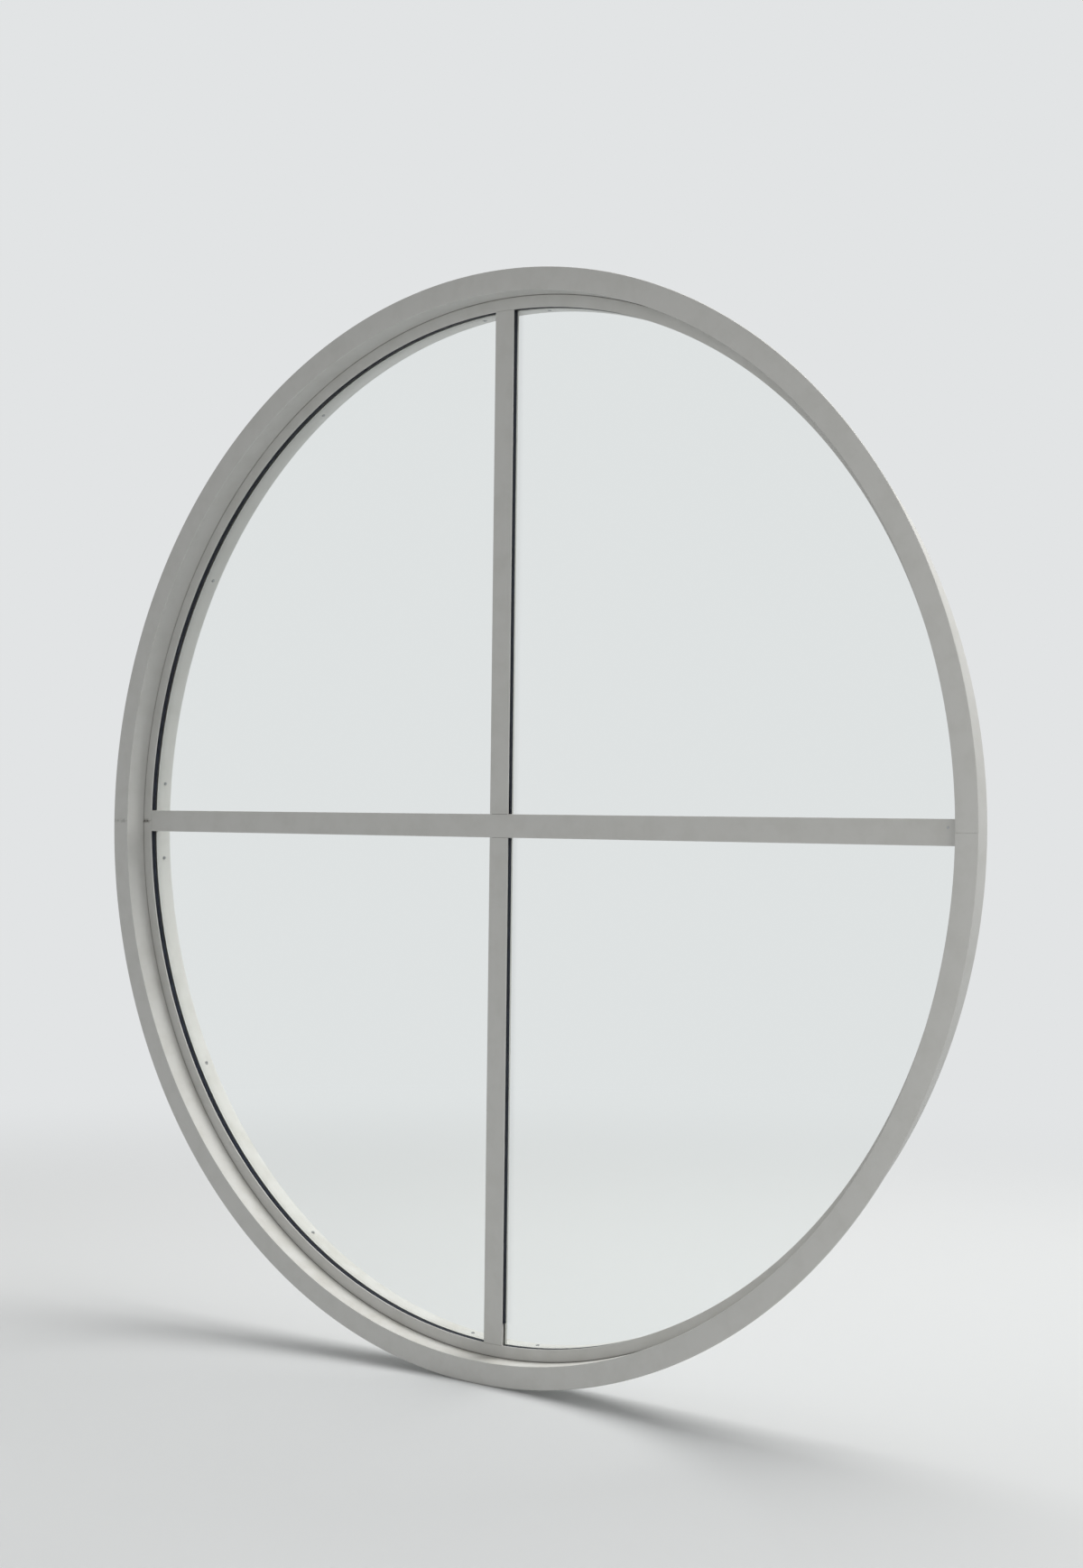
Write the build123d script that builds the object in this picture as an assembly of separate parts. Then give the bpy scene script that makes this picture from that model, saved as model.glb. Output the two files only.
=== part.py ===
from build123d import *
import os
from math import degrees, sqrt

# Fixed round window of white painted aluminium with a cross of glazing bars.
# X is to the right and Z up as seen from the room, +Y points outdoors.
# The origin is the window's centre on the plane where the flange bears on the wall.

# Round frame
sight_radius = 1100.0
face_width = 26.0
step_depth = 52.0
flange_width = 48.0
casing_wall = 3.0
ring_depth = 64.0
ring_web = 2.5
ring_fit_gap = 0.5
half_joint_gap = 0.5
spigot_length = 160.0
spigot_gap = 0.25

# Shared section of the ring's front leg and the bars' heads
lip_thickness = 2.5
leg_depth = 10.0
leg_wall = 2.0
gasket_rebate = 4.0
arris_radius = 1.0
flange_arris_radius = 1.5

# Glass and what beds it
glass_setback = 14.5
glass_thickness = 6.0
glass_edge_gap = 4.0
bed_width = 10.0
glass_past_bed = 6.0
tape_thickness = 3.0
gasket_end_gap = 0.6

# Glazing bars
bar_width = 50.0
spine_width = 12.0
slot_width = 3.2
slot_depth = 10.5
cap_width = 40.0
cap_thickness = 4.0
butt_gap = 0.3

# Outer stops
stop_wall = 2.0
stop_fit_gap = 0.5
stop_joint_gap = 1.0

# Angle cleats, end blocks and setting blocks
cleat_thickness = 3.0
cleat_leg = 24.0
cleat_width = 11.0
end_block_length = 45.0
end_block_gap = 0.2
setting_block_length = 100.0
setting_block_width = 7.0
sill_block_angles = (45.0, 68.0)
bar_block_places = (270.0, 800.0)

# Fasteners
screw_seat_gap = 0.05
screw_hole_gap = 0.1
screw_hole_run_out = 1.5
stop_screw_end_angle = 4.7
stop_screw_count = 4
ring_screw_end_angle = 12.0
ring_screw_count = 4
cap_screw_margin = 70.0
cap_screw_pitch = 250.0
ring_screw_recess = 0.3
rivet_from_end = 17.0
rivet_rise = 9.0

# Places across the section, all in the direction of Y
flange_front = -casing_wall
face_front = flange_front + step_depth
lip_back = face_front + lip_thickness
leg_back = face_front + leg_depth
glass_front = face_front + glass_setback
glass_back = glass_front + glass_thickness
tape_back = glass_back + tape_thickness
cap_back = tape_back + cap_thickness
frame_back = face_front + ring_depth
pocket_middle = (leg_back + tape_back) / 2
stop_middle = (tape_back + frame_back) / 2

# Radii of the round pieces
rebate_radius = sight_radius + gasket_rebate
ring_outer = sight_radius + face_width
pocket_radius = ring_outer - ring_web
bed_radius = sight_radius + bed_width
glass_radius = bed_radius + glass_past_bed
casing_inner = ring_outer + ring_fit_gap
casing_outer = casing_inner + casing_wall
flange_outer = casing_inner + flange_width
stop_outer = pocket_radius - stop_fit_gap

# Half widths of the bars
bar_half = bar_width / 2
body_half = bar_half - gasket_rebate
chamber_half = body_half - leg_wall
spine_half = spine_width / 2
cap_half = cap_width / 2
pane_edge = spine_half + glass_edge_gap
chamber_back = leg_back - leg_wall
reach = 2 * flange_outer

CORNERS = {
    "upper_right": (1, 1),
    "upper_left": (-1, 1),
    "lower_left": (-1, -1),
    "lower_right": (1, -1),
}


def outline(points, rounded=(), radius=0.0):
    """Flat section through the given points, with some of its corners rounded."""
    face = make_face(Polyline(*points, close=True))
    picked = [v for v in face.vertices() if any(abs(v.X - x) + abs(v.Y - y) < 1e-3 for x, y in rounded)]
    return fillet(picked, radius) if picked else face


def rectangle(low, high):
    """Flat rectangle between two corners."""
    return outline([low, (high[0], low[1]), high, (low[0], high[1])])


def swept(section, start, end):
    """Sweep a section of radius and depth round the Y axis, by angles from +X towards +Z."""
    return revolve(section, axis=Axis.Y, revolution_arc=end - start).rotate(Axis.Y, -end)


def upper_half(section, radius):
    """Upper half ring, short of the side joints by half the joint's gap."""
    trim = degrees(half_joint_gap / 2 / radius)
    return swept(section, trim, 180 - trim)


def lowered(shape):
    """The same piece on the lower side."""
    return mirror(shape, about=Plane.XY)


def in_corner(shape, corner):
    """Move a piece of the upper right quarter to another quarter."""
    side_x, side_z = CORNERS[corner]
    if side_x < 0:
        shape = mirror(shape, about=Plane.YZ)
    return shape if side_z > 0 else lowered(shape)


def block(low, high):
    """Box between two corners."""
    size = [b - a for a, b in zip(low, high)]
    return Pos(*low) * Box(*size, align=(Align.MIN, Align.MIN, Align.MIN))


def quarter(edge, radius, front, back):
    """Upper right quarter disc whose straight sides lie off the axes by the same amount."""
    disc = swept(rectangle((0, front), (radius, back)), 0, 90)
    return disc & block((edge, front, edge), (radius, back, radius))


def along_x(section, low, high):
    """Straight bar along X from a section drawn as height and depth."""
    bar = extrude(Plane.YZ * section, amount=high - low)
    return Pos(low, 0, 0) * bar


def height_section(points, rounded=(), radius=0.0):
    """Section of a bar along X, given as (height, depth) pairs."""
    turned = [(y, z) for z, y in points]
    return outline(turned, [(y, z) for z, y in rounded], radius)


# Fasteners: the head's seat is at the origin and the shank points down

dome_flat = 0.6
dome_edge = 0.4


def screw(head_radius, head_height, shank_radius, length, sunk=False):
    """Screw with a domed or a countersunk head."""
    if sunk:
        head = [(0, 0), (head_radius, 0), (shank_radius, -head_height)]
    else:
        head = [(0, head_height), (dome_flat * head_radius, head_height)]
        head += [(head_radius, dome_edge * head_height)]
        head += [(head_radius, 0), (shank_radius, 0)]
    point = [(shank_radius, shank_radius / 2 - length), (shank_radius / 2, -length), (0, -length)]
    return revolve(Plane.XZ * outline(head + point), axis=Axis.Z)


def screw_hole(head_radius, head_height, shank_radius, length, sunk=False):
    """Hole for a screw, run out past its point, with a countersink for a sunk head."""
    hole_radius = shank_radius + screw_hole_gap
    mouth = head_radius + 2 * screw_hole_gap if sunk else hole_radius
    flare = [(0, screw_hole_gap), (mouth, screw_hole_gap), (hole_radius, -head_height)]
    bottom = -length - screw_hole_run_out
    return revolve(Plane.XZ * outline(flare + [(hole_radius, bottom), (0, bottom)]), axis=Axis.Z)


ring_screw_length = casing_outer - pocket_radius - ring_screw_recess
stop_screw = dict(head_radius=4.0, head_height=2.0, shank_radius=2.0, length=ring_outer - sight_radius)
ring_screw = dict(head_radius=3.5, head_height=1.8, shank_radius=2.0, length=ring_screw_length)
cap_screw = dict(head_radius=3.5, head_height=2.2, shank_radius=1.5, length=12.0)
spine_screw = dict(head_radius=2.8, head_height=1.4, shank_radius=1.4, length=7.0, sunk=True)
web_screw = dict(spine_screw, length=cleat_thickness + ring_web)
rivet_length = chamber_back - face_front - screw_hole_run_out
rivet = dict(head_radius=2.4, head_height=0.8, shank_radius=1.6, length=rivet_length)


def set_at(place, towards, sizes, hole=False):
    """A fastener, or its hole, with its head's seat at a place and its head facing a way."""
    shape = screw_hole(**sizes) if hole else screw(**sizes)
    return Plane(origin=place, z_dir=towards).location * shape


def radial_places(radius, depth, end_angle, count):
    """Places and inward directions on an arc of the upper right quarter."""
    spacing = (90 - 2 * end_angle) / (count - 1)
    for step in range(count):
        turn = Rot(0, -(end_angle + step * spacing), 0)
        yield (turn * Pos(radius - screw_seat_gap, depth, 0)).position, (turn * Pos(-1, 0, 0)).position


def stop_screw_set(hole=False):
    places = radial_places(sight_radius, stop_middle, stop_screw_end_angle, stop_screw_count)
    return [set_at(place, inward, stop_screw, hole) for place, inward in places]


def ring_screw_set(hole=False):
    places = radial_places(pocket_radius, pocket_middle, ring_screw_end_angle, ring_screw_count)
    return [set_at(place, inward, ring_screw, hole) for place, inward in places]


# Angle cleats: each ties a bar to the ring, or two bars to each other, inside the glass edge's gap
cleat_back = pocket_middle + cleat_width / 2
cleat_inside = spine_half + cleat_thickness
cleat_end = spine_half + cleat_leg
cleat_screw_place = (cleat_inside + cleat_end) / 2
web_touch = sqrt(pocket_radius ** 2 - cleat_end ** 2)


def cleat(corner_x):
    """Angle cleat in the corner between a spine along X and what stands across it."""
    inner, outer = corner_x - cleat_thickness, corner_x - cleat_leg
    points = [(outer, spine_half), (corner_x, spine_half), (corner_x, cleat_end)]
    points += [(inner, cleat_end), (inner, cleat_inside), (outer, cleat_inside)]
    flat = Pos(0, cleat_back, 0) * (Plane.XZ * outline(points))
    return extrude(flat, amount=cleat_width)


def end_cleat_screws(hole=False):
    on_spine = (web_touch - cleat_screw_place + spine_half, pocket_middle, cleat_inside)
    on_web = (web_touch - cleat_thickness, pocket_middle, cleat_screw_place)
    return [set_at(on_spine, (0, 0, 1), spine_screw, hole), set_at(on_web, (-1, 0, 0), web_screw, hole)]


def centre_cleat_screws(hole=False):
    on_horizontal = (cleat_screw_place, pocket_middle, cleat_inside)
    on_vertical = (cleat_inside, pocket_middle, cleat_screw_place)
    seats = [(on_horizontal, (0, 0, 1)), (on_vertical, (1, 0, 0))]
    return [set_at(place, towards, spine_screw, hole) for place, towards in seats]


def stood_up(shape):
    """Turn a piece of the right end into the same piece of the top end."""
    return mirror(shape.rotate(Axis.Y, -90), about=Plane.YZ)


def end_cleat():
    body = cleat(web_touch)
    for hole in end_cleat_screws(hole=True):
        body -= hole
    return body


def centre_cleat():
    body = mirror(cleat(-spine_half), about=Plane.YZ)
    for hole in centre_cleat_screws(hole=True):
        body -= hole
    return body


# Casing: rolled angle whose flange shows in the room and whose sleeve lines the opening

def casing_upper():
    points = [(casing_inner, flange_front), (flange_outer, flange_front), (flange_outer, 0)]
    points += [(casing_outer, 0), (casing_outer, frame_back), (casing_inner, frame_back)]
    half = upper_half(outline(points, points[:2], flange_arris_radius), casing_inner)
    for corner in ("upper_right", "upper_left"):
        for hole in ring_screw_set(hole=True):
            half -= in_corner(hole, corner)
    return half


# Glazing ring: face, hollow front leg and the web that carries the glass and the stops

def ring_section():
    front = [(sight_radius, face_front), (ring_outer, face_front)]
    points = front + [(ring_outer, frame_back), (pocket_radius, frame_back), (pocket_radius, leg_back)]
    points += [(rebate_radius, leg_back), (rebate_radius, lip_back), (sight_radius, lip_back)]
    chamber = rectangle((rebate_radius + leg_wall, lip_back), (pocket_radius, chamber_back))
    return outline(points, front, arris_radius) - chamber


def ring_upper():
    half = upper_half(ring_section(), sight_radius)
    holes = ring_screw_set(hole=True) + stop_screw_set(hole=True)
    web_hole = end_cleat_screws(hole=True)[1]
    holes += [web_hole, stood_up(web_hole)]
    for corner in ("upper_right", "upper_left"):
        for hole in holes:
            half -= in_corner(hole, corner)
    return half


def ring_spigot():
    """Curved bar inside the ring's hollow leg, across the right-hand joint."""
    low = (rebate_radius + leg_wall + spigot_gap, lip_back + spigot_gap)
    high = (pocket_radius - spigot_gap, chamber_back - spigot_gap)
    half_angle = degrees(spigot_length / 2 / rebate_radius)
    return swept(rectangle(low, high), -half_angle, half_angle)


# Bars: one hollow head with a slotted spine between the panes

def bar_section():
    half = [(bar_half, face_front), (bar_half, lip_back), (body_half, lip_back), (body_half, leg_back)]
    half += [(spine_half, leg_back), (spine_half, tape_back), (slot_width / 2, tape_back)]
    half += [(slot_width / 2, tape_back - slot_depth)]
    points = half + [(-z, y) for z, y in reversed(half)]
    chamber = rectangle((lip_back, -chamber_half), (chamber_back, chamber_half))
    return height_section(points, [half[0], points[-1]], arris_radius) - chamber


def bar_space():
    """Everything a bar may fill between the ring's lip, leg and web."""
    gap = butt_gap
    points = [(0, face_front), (sight_radius - gap, face_front), (sight_radius - gap, lip_back)]
    points += [(rebate_radius - gap, lip_back), (rebate_radius - gap, leg_back)]
    points += [(pocket_radius - gap, leg_back), (pocket_radius - gap, tape_back), (0, tape_back)]
    return revolve(outline(points), axis=Axis.Y)


def rivet_place():
    return (sight_radius - rivet_from_end, face_front, rivet_rise)


def horizontal_bar():
    bar = along_x(bar_section(), -pocket_radius, pocket_radius) & bar_space()
    holes = [end_cleat_screws(hole=True)[0], centre_cleat_screws(hole=True)[0]]
    for corner in CORNERS:
        for hole in holes:
            bar -= in_corner(hole, corner)
    return bar - set_at(rivet_place(), (0, -1, 0), rivet, hole=True)


def vertical_bar_upper():
    gap = butt_gap
    bar = along_x(bar_section(), 0, pocket_radius).rotate(Axis.Y, -90) & bar_space()
    bar -= block((-reach, face_front, -reach), (reach, lip_back, bar_half + gap))
    bar -= block((-reach, lip_back, -reach), (reach, leg_back, body_half + gap))
    bar -= block((-reach, leg_back, -reach), (reach, tape_back, spine_half + gap))
    holes = [stood_up(end_cleat_screws(hole=True)[0]), centre_cleat_screws(hole=True)[1]]
    for corner in ("upper_right", "upper_left"):
        for hole in holes:
            bar -= in_corner(hole, corner)
    return bar


def bar_end_block():
    """Solid block in the bar's hollow right-hand end, which takes the face rivet."""
    gap = end_block_gap
    outer_x = sight_radius - butt_gap
    low = (outer_x - end_block_length, lip_back + gap, -chamber_half + gap)
    body = block(low, (outer_x, chamber_back - gap, chamber_half - gap))
    return body - set_at(rivet_place(), (0, -1, 0), rivet, hole=True)


# Flat caps screwed to the spines outdoors

def cap_screw_places(low, high):
    """Evenly spaced places along a cap, as near the pitch as its length allows."""
    span = high - low - 2 * cap_screw_margin
    steps = max(1, round(span / cap_screw_pitch))
    return [low + cap_screw_margin + span * step / steps for step in range(steps + 1)]


cap_reach = sight_radius - butt_gap
cap_start = cap_half + butt_gap


def cap_screws(low, high, hole=False):
    places = [(x, cap_back, 0) for x in cap_screw_places(low, high)]
    return [set_at(place, (0, 1, 0), cap_screw, hole) for place in places]


def bar_cap(low, high):
    """Cap along X, ending on the round stops."""
    edge = [(-cap_half, cap_back), (cap_half, cap_back)]
    points = [(-cap_half, tape_back)] + edge + [(cap_half, tape_back)]
    section = height_section(points, edge, arris_radius)
    cap = along_x(section, low, high)
    cap &= swept(rectangle((0, tape_back), (cap_reach, cap_back)), 0, 360)
    for hole in cap_screws(low, high, hole=True):
        cap -= hole
    return cap


# Glass, gaskets, tapes and stops of the upper right pane

def gasket_section(seat, wedge_end, visible_edge):
    """L-shaped gasket: it fills the rebate behind the lip and wedges against the glass."""
    return [(visible_edge, lip_back), (seat, lip_back), (seat, leg_back), (wedge_end, leg_back),
            (wedge_end, glass_front), (visible_edge, glass_front)]


def gasket_arc():
    points = gasket_section(rebate_radius, bed_radius, sight_radius)
    start = bar_half + gasket_end_gap
    arc = swept(outline(points), 0, 90)
    return arc & block((start, lip_back, start), (reach, glass_front, reach))


def gasket_beside_horizontal():
    section = height_section(gasket_section(body_half, bar_half - bed_width, bar_half))
    start = bar_half + gasket_end_gap
    end_radius = sight_radius - gasket_end_gap
    return along_x(section, start, sight_radius) & quarter(0, end_radius, lip_back, glass_front)


def gasket_beside_vertical():
    return stood_up(gasket_beside_horizontal())


def glazing_tape():
    outer = quarter(pane_edge, bed_radius, glass_back, tape_back)
    return outer - quarter(pane_edge + bed_width, sight_radius, glass_back, tape_back)


def outer_stop():
    """Rolled tube that holds the glass from outdoors, a quarter of the ring long."""
    wall = stop_wall
    inner = [(sight_radius, tape_back), (sight_radius, frame_back)]
    points = inner + [(stop_outer, frame_back), (stop_outer, tape_back)]
    tube = outline(points, [inner[1]], arris_radius)
    tube -= rectangle((sight_radius + wall, tape_back + wall), (stop_outer - wall, frame_back - wall))
    trim = degrees(stop_joint_gap / 2 / sight_radius)
    stop = swept(tube, trim, 90 - trim)
    for hole in stop_screw_set(hole=True):
        stop -= hole
    return stop


# Setting blocks under the panes

block_front = (glass_front + glass_back - setting_block_width) / 2
block_back = block_front + setting_block_width


def bar_blocks():
    """Two flat blocks on the horizontal bar's spine under the upper right pane."""
    half = setting_block_length / 2
    ends = [(x - half, x + half) for x in bar_block_places]
    return [block((low, block_front, spine_half), (high, block_back, pane_edge)) for low, high in ends]


def sill_blocks():
    """Two curved blocks on the ring's web, for the lower panes, made in the upper right quarter."""
    half_angle = degrees(setting_block_length / 2 / glass_radius)
    section = rectangle((glass_radius, block_front), (pocket_radius, block_back))
    return [swept(section, angle - half_angle, angle + half_angle) for angle in sill_block_angles]


# All pieces by name

def frame_pieces():
    casing, ring, spigot = casing_upper(), ring_upper(), ring_spigot()
    return {
        "casing_upper": casing,
        "casing_lower": lowered(casing),
        "glazing_ring_upper": ring,
        "glazing_ring_lower": lowered(ring),
        "ring_spigot_right": spigot,
        "ring_spigot_left": mirror(spigot, about=Plane.YZ),
    }


def bar_pieces():
    upper, end_block = vertical_bar_upper(), bar_end_block()
    short_cap = bar_cap(cap_start, cap_reach).rotate(Axis.Y, -90)
    return {
        "horizontal_bar": horizontal_bar(),
        "vertical_bar_upper": upper,
        "vertical_bar_lower": lowered(upper),
        "bar_end_block_right": end_block,
        "bar_end_block_left": mirror(end_block, about=Plane.YZ),
        "cap_horizontal": bar_cap(-cap_reach, cap_reach),
        "cap_upper": short_cap,
        "cap_lower": lowered(short_cap),
    }


def pane_pieces():
    quarter_pieces = {
        "glass": quarter(pane_edge, glass_radius, glass_front, glass_back),
        "gasket_arc": gasket_arc(),
        "gasket_sill": gasket_beside_horizontal(),
        "gasket_jamb": gasket_beside_vertical(),
        "glazing_tape": glazing_tape(),
        "outer_stop": outer_stop(),
        "centre_cleat": centre_cleat(),
        "side_cleat": end_cleat(),
        "end_cleat": stood_up(end_cleat()),
    }
    return {f"{name}_{corner}": in_corner(piece, corner)
            for name, piece in quarter_pieces.items() for corner in CORNERS}


def in_corners(shapes, corners=CORNERS):
    """Copies of a quarter's small pieces as one group of separate solids."""
    return Compound([in_corner(shape, corner) for shape in shapes for corner in corners])


def small_pieces():
    end_screws = end_cleat_screws()
    cleat_screws = end_screws + [stood_up(s) for s in end_screws] + centre_cleat_screws()
    vertical_caps = [s.rotate(Axis.Y, -90) for s in cap_screws(cap_start, cap_reach)]
    caps = cap_screws(-cap_reach, cap_reach) + vertical_caps + [lowered(s) for s in vertical_caps]
    return {
        "stop_screws": in_corners(stop_screw_set()),
        "ring_screws": in_corners(ring_screw_set()),
        "cleat_screws": in_corners(cleat_screws),
        "cap_screws": Compound(caps),
        "bar_rivet": set_at(rivet_place(), (0, -1, 0), rivet),
        "setting_blocks_bar": in_corners(bar_blocks(), ("upper_right", "upper_left")),
        "setting_blocks_sill": in_corners(sill_blocks(), ("lower_right", "lower_left")),
    }


os.makedirs("parts", exist_ok=True)
for node, shape in {**frame_pieces(), **bar_pieces(), **pane_pieces(), **small_pieces()}.items():
    export_step(shape, f"parts/{node}.step")
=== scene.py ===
import bmesh
import bpy
from math import ceil, cos, pi, radians, sin, sqrt
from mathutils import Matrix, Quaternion, Vector
from mathutils.geometry import tessellate_polygon


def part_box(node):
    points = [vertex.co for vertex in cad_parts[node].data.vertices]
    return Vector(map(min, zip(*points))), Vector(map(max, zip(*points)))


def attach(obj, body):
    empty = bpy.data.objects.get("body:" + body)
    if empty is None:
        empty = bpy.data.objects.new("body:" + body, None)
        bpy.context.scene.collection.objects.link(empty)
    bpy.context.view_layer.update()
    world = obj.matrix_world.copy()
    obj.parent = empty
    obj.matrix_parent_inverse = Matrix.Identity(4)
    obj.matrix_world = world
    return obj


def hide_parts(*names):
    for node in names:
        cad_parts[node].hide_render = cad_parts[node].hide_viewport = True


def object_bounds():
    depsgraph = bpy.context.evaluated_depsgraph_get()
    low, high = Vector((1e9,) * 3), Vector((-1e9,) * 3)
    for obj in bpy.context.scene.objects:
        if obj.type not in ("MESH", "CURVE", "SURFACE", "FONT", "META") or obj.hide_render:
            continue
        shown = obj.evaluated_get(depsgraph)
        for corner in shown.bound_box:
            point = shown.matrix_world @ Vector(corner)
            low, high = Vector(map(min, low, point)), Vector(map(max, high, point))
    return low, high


bl_info = {
    "name": "Round Window",
    "version": (1, 0, 0),
    "blender": (4, 5, 0),
    "location": "3D View > Sidebar > Round Window",
    "description": "Dresses the packed round fixed window with its paint, rubber, glass and screws",
    "category": "Object",
}

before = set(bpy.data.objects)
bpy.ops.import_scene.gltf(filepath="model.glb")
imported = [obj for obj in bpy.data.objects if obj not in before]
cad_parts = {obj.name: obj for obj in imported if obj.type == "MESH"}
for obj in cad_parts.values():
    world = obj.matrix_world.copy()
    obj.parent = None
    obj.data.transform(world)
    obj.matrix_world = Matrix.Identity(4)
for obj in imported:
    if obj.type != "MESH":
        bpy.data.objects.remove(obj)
CAD_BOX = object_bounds()

MM = 0.001
CORNERS = {"upper_right": (1, 1), "upper_left": (-1, 1),
           "lower_left": (-1, -1), "lower_right": (1, -1)}
QUARTER_STARTS = (0.0, pi / 2, pi, 3 * pi / 2)
HALF_STARTS = {"upper": 0.0, "lower": pi}

# Fixed sizes of the frame
CAP_CLEARANCE = 0.3 * MM      # from the ends of the caps to the sight edge
RING_CLEARANCE = 0.5 * MM     # from the glazing ring to the casing's sleeve
FLOOR_CLEARANCE = 0.2 * MM    # from the window to the studio's floor
HIDDEN_EASE = 0.3 * MM        # easing of the edges inside the frame
SLEEVE_EASE = 0.4 * MM        # of the back edges of the sleeve
STOP_RING_EASE = 0.5 * MM     # of the outer stops' edges on the ring
STOP_GLASS_EASE = 0.8 * MM    # of the outer stops' edge on the glass
SMOOTH_LIMIT = radians(32)    # an edge that turns by more is a real one

# Fixed sizes of the gaskets
GROOVE_RISES = (2.2 * MM, 2.7 * MM, 3.4 * MM, 4.1 * MM)   # the groove's corners behind the front
GROOVE_DEPTH = 0.9 * MM
CHAMFER_ACROSS, CHAMFER_DEEP = 0.7 * MM, 1.1 * MM         # where the edge meets the glass
LEAST_SEAT = 1 * MM                                       # depth kept where a gasket has slipped
GASKET_CLEARANCE = 0.6 * MM                               # from the straight gaskets to the ring
GASKET_STEPS = 140                                        # along a straight gasket

# Fixed sizes and places of the screws
SCREW_SIDES = 48
RECESS_REACH, RECESS_HALF = 0.55, 0.11    # cross recess, as shares of the head's radius
STOP_SCREWS = 4                           # in each outer stop
STOP_SCREW_MARGIN = radians(4.7)          # from the middle of a bar to the nearest of them
STOP_SCREW_SEAT = 0.05 * MM               # from the sight edge to the seats of their heads
STOP_HEAD_RISE, STOP_SHANK = 0.5, 2 * MM  # height as a share of the head's radius, shank's radius
CAP_HEAD_RISE, CAP_SHANK = 0.62, 1.5 * MM
CAP_SCREW_LENGTH = 12 * MM
CAP_SCREWS, UPRIGHT_SCREWS = 9, 5         # along the horizontal cap and each upright one
CAP_SCREW_MARGIN = 70.3 * MM              # from the sight edge to the nearest of them
CROSSING_MARGIN = 90.3 * MM               # from the crossing to the nearest upright one
STOP_TWIST, CAP_TWIST, UPRIGHT_TWIST = 1.7, 0.9, 1.3   # turn of the recess from screw to screw

# Studio: place, side, power and tint of each lamp, then the world's light and the floor
SKY_LAMP = ((1.8, 4.4, 7.9), 8.6, 1480.0, (1.0, 0.995, 0.975))
ROOM_LAMP = ((2.5, -2.3, 0.2), 1.5, 17.0, (1.0, 0.985, 0.955))
FLOOR_LAMP = ((0.8, 2.4, 6.4), 6.0, 520.0, (1.0, 0.995, 0.98))
WORLD_TINT, WORLD_STRENGTH = (1.0, 0.995, 0.985, 1.0), 0.33
FLOOR_RADIUS = 60.0
FADE_START, FADE_END = 1.8, 5.5           # where the floor turns into the background

# Camera, from its fit to the round edges and the bars of the photograph
CAMERA_PLACE = (3.28323, -3.840591, 0.02003)
CAMERA_LOOK = (-0.631334, 0.775389, 0.013783)
CAMERA_ROLL = radians(0.665)
FOCAL_PIXELS, PICTURE_HEIGHT = 2649.2, 1738
SENSOR = 36.0

# Places read from the frame
FLANGE_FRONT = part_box("casing_upper")[0].y
FLANGE_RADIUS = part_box("casing_upper")[1].x
FRAME_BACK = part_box("casing_upper")[1].y
FACE_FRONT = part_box("glazing_ring_upper")[0].y
RING_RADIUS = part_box("glazing_ring_upper")[1].x
BAR_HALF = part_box("horizontal_bar")[1].z
GLASS_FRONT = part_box("glass_upper_right")[0].y
GASKET_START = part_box("gasket_sill_upper_right")[0].x
STOP_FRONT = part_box("outer_stop_upper_right")[0].y
STOP_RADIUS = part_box("outer_stop_upper_right")[1].x
CAP_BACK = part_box("cap_horizontal")[1].y
SIGHT_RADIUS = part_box("cap_horizontal")[1].x + CAP_CLEARANCE


# Colours and sizes that a user would change

def linear(code):
    """Linear colour from an sRGB hex value."""
    parts = [int(code[i:i + 2], 16) / 255 for i in (1, 3, 5)]
    return [p / 12.92 if p <= 0.04045 else ((p + 0.055) / 1.055) ** 2.4 for p in parts] + [1.0]


def colour(name, description, code):
    return bpy.props.FloatVectorProperty(name=name, description=description, subtype="COLOR",
                                         size=4, min=0.0, max=1.0, default=linear(code))


def length(name, description, millimetres):
    return bpy.props.FloatProperty(name=name, description=description, subtype="DISTANCE",
                                   unit="LENGTH", default=millimetres * MM)


class RoundWindowSizes(bpy.types.PropertyGroup):
    casing_wall: length("Casing wall", "Thickness of the casing's sheet", 3)
    flange_arris: length("Flange arris", "Rounding of the flange's two edges", 1.5)
    face_arris: length("Face arris", "Rounding of the face ring's edges", 1)
    lip: length("Lip", "Thickness of the face ring's lip", 2.5)
    leg: length("Leg depth", "Depth of the face ring's front leg", 10)
    leg_wall: length("Leg wall", "Wall of the hollow front leg", 2)
    rebate: length("Gasket rebate", "How far the gasket reaches behind the lip", 4)
    web: length("Web", "Thickness of the ring's web", 2.5)
    bed: length("Glass bed", "Width of the gasket that bears on the glass", 10)
    gasket_short: length("Gasket short", "How far one upright gasket ends short of the ring", 45)
    gasket_slip: length("Gasket slip", "How far another has slipped back at the crossing", 6)
    slip_run: length("Slip run", "Length over which it has slipped", 80)
    stop_wall: length("Stop wall", "Wall of the outer glazing stop", 2)
    joint_ease: length("Joint ease", "Bevel of the painted edges at a butt joint", 0.7)
    joint_gap: length("Joint gap", "Open gap at a butt joint, nearly shut by paint", 0.1)
    stop_head: length("Stop screw head", "Radius of the heads in the outer stops", 4)
    cap_head: length("Cap screw head", "Radius of the heads in the caps", 3.5)
    turning: bpy.props.FloatProperty(name="Turning step", subtype="ANGLE", unit="ROTATION",
                                     description="Angle of one step round the ring",
                                     default=radians(0.5))


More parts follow.
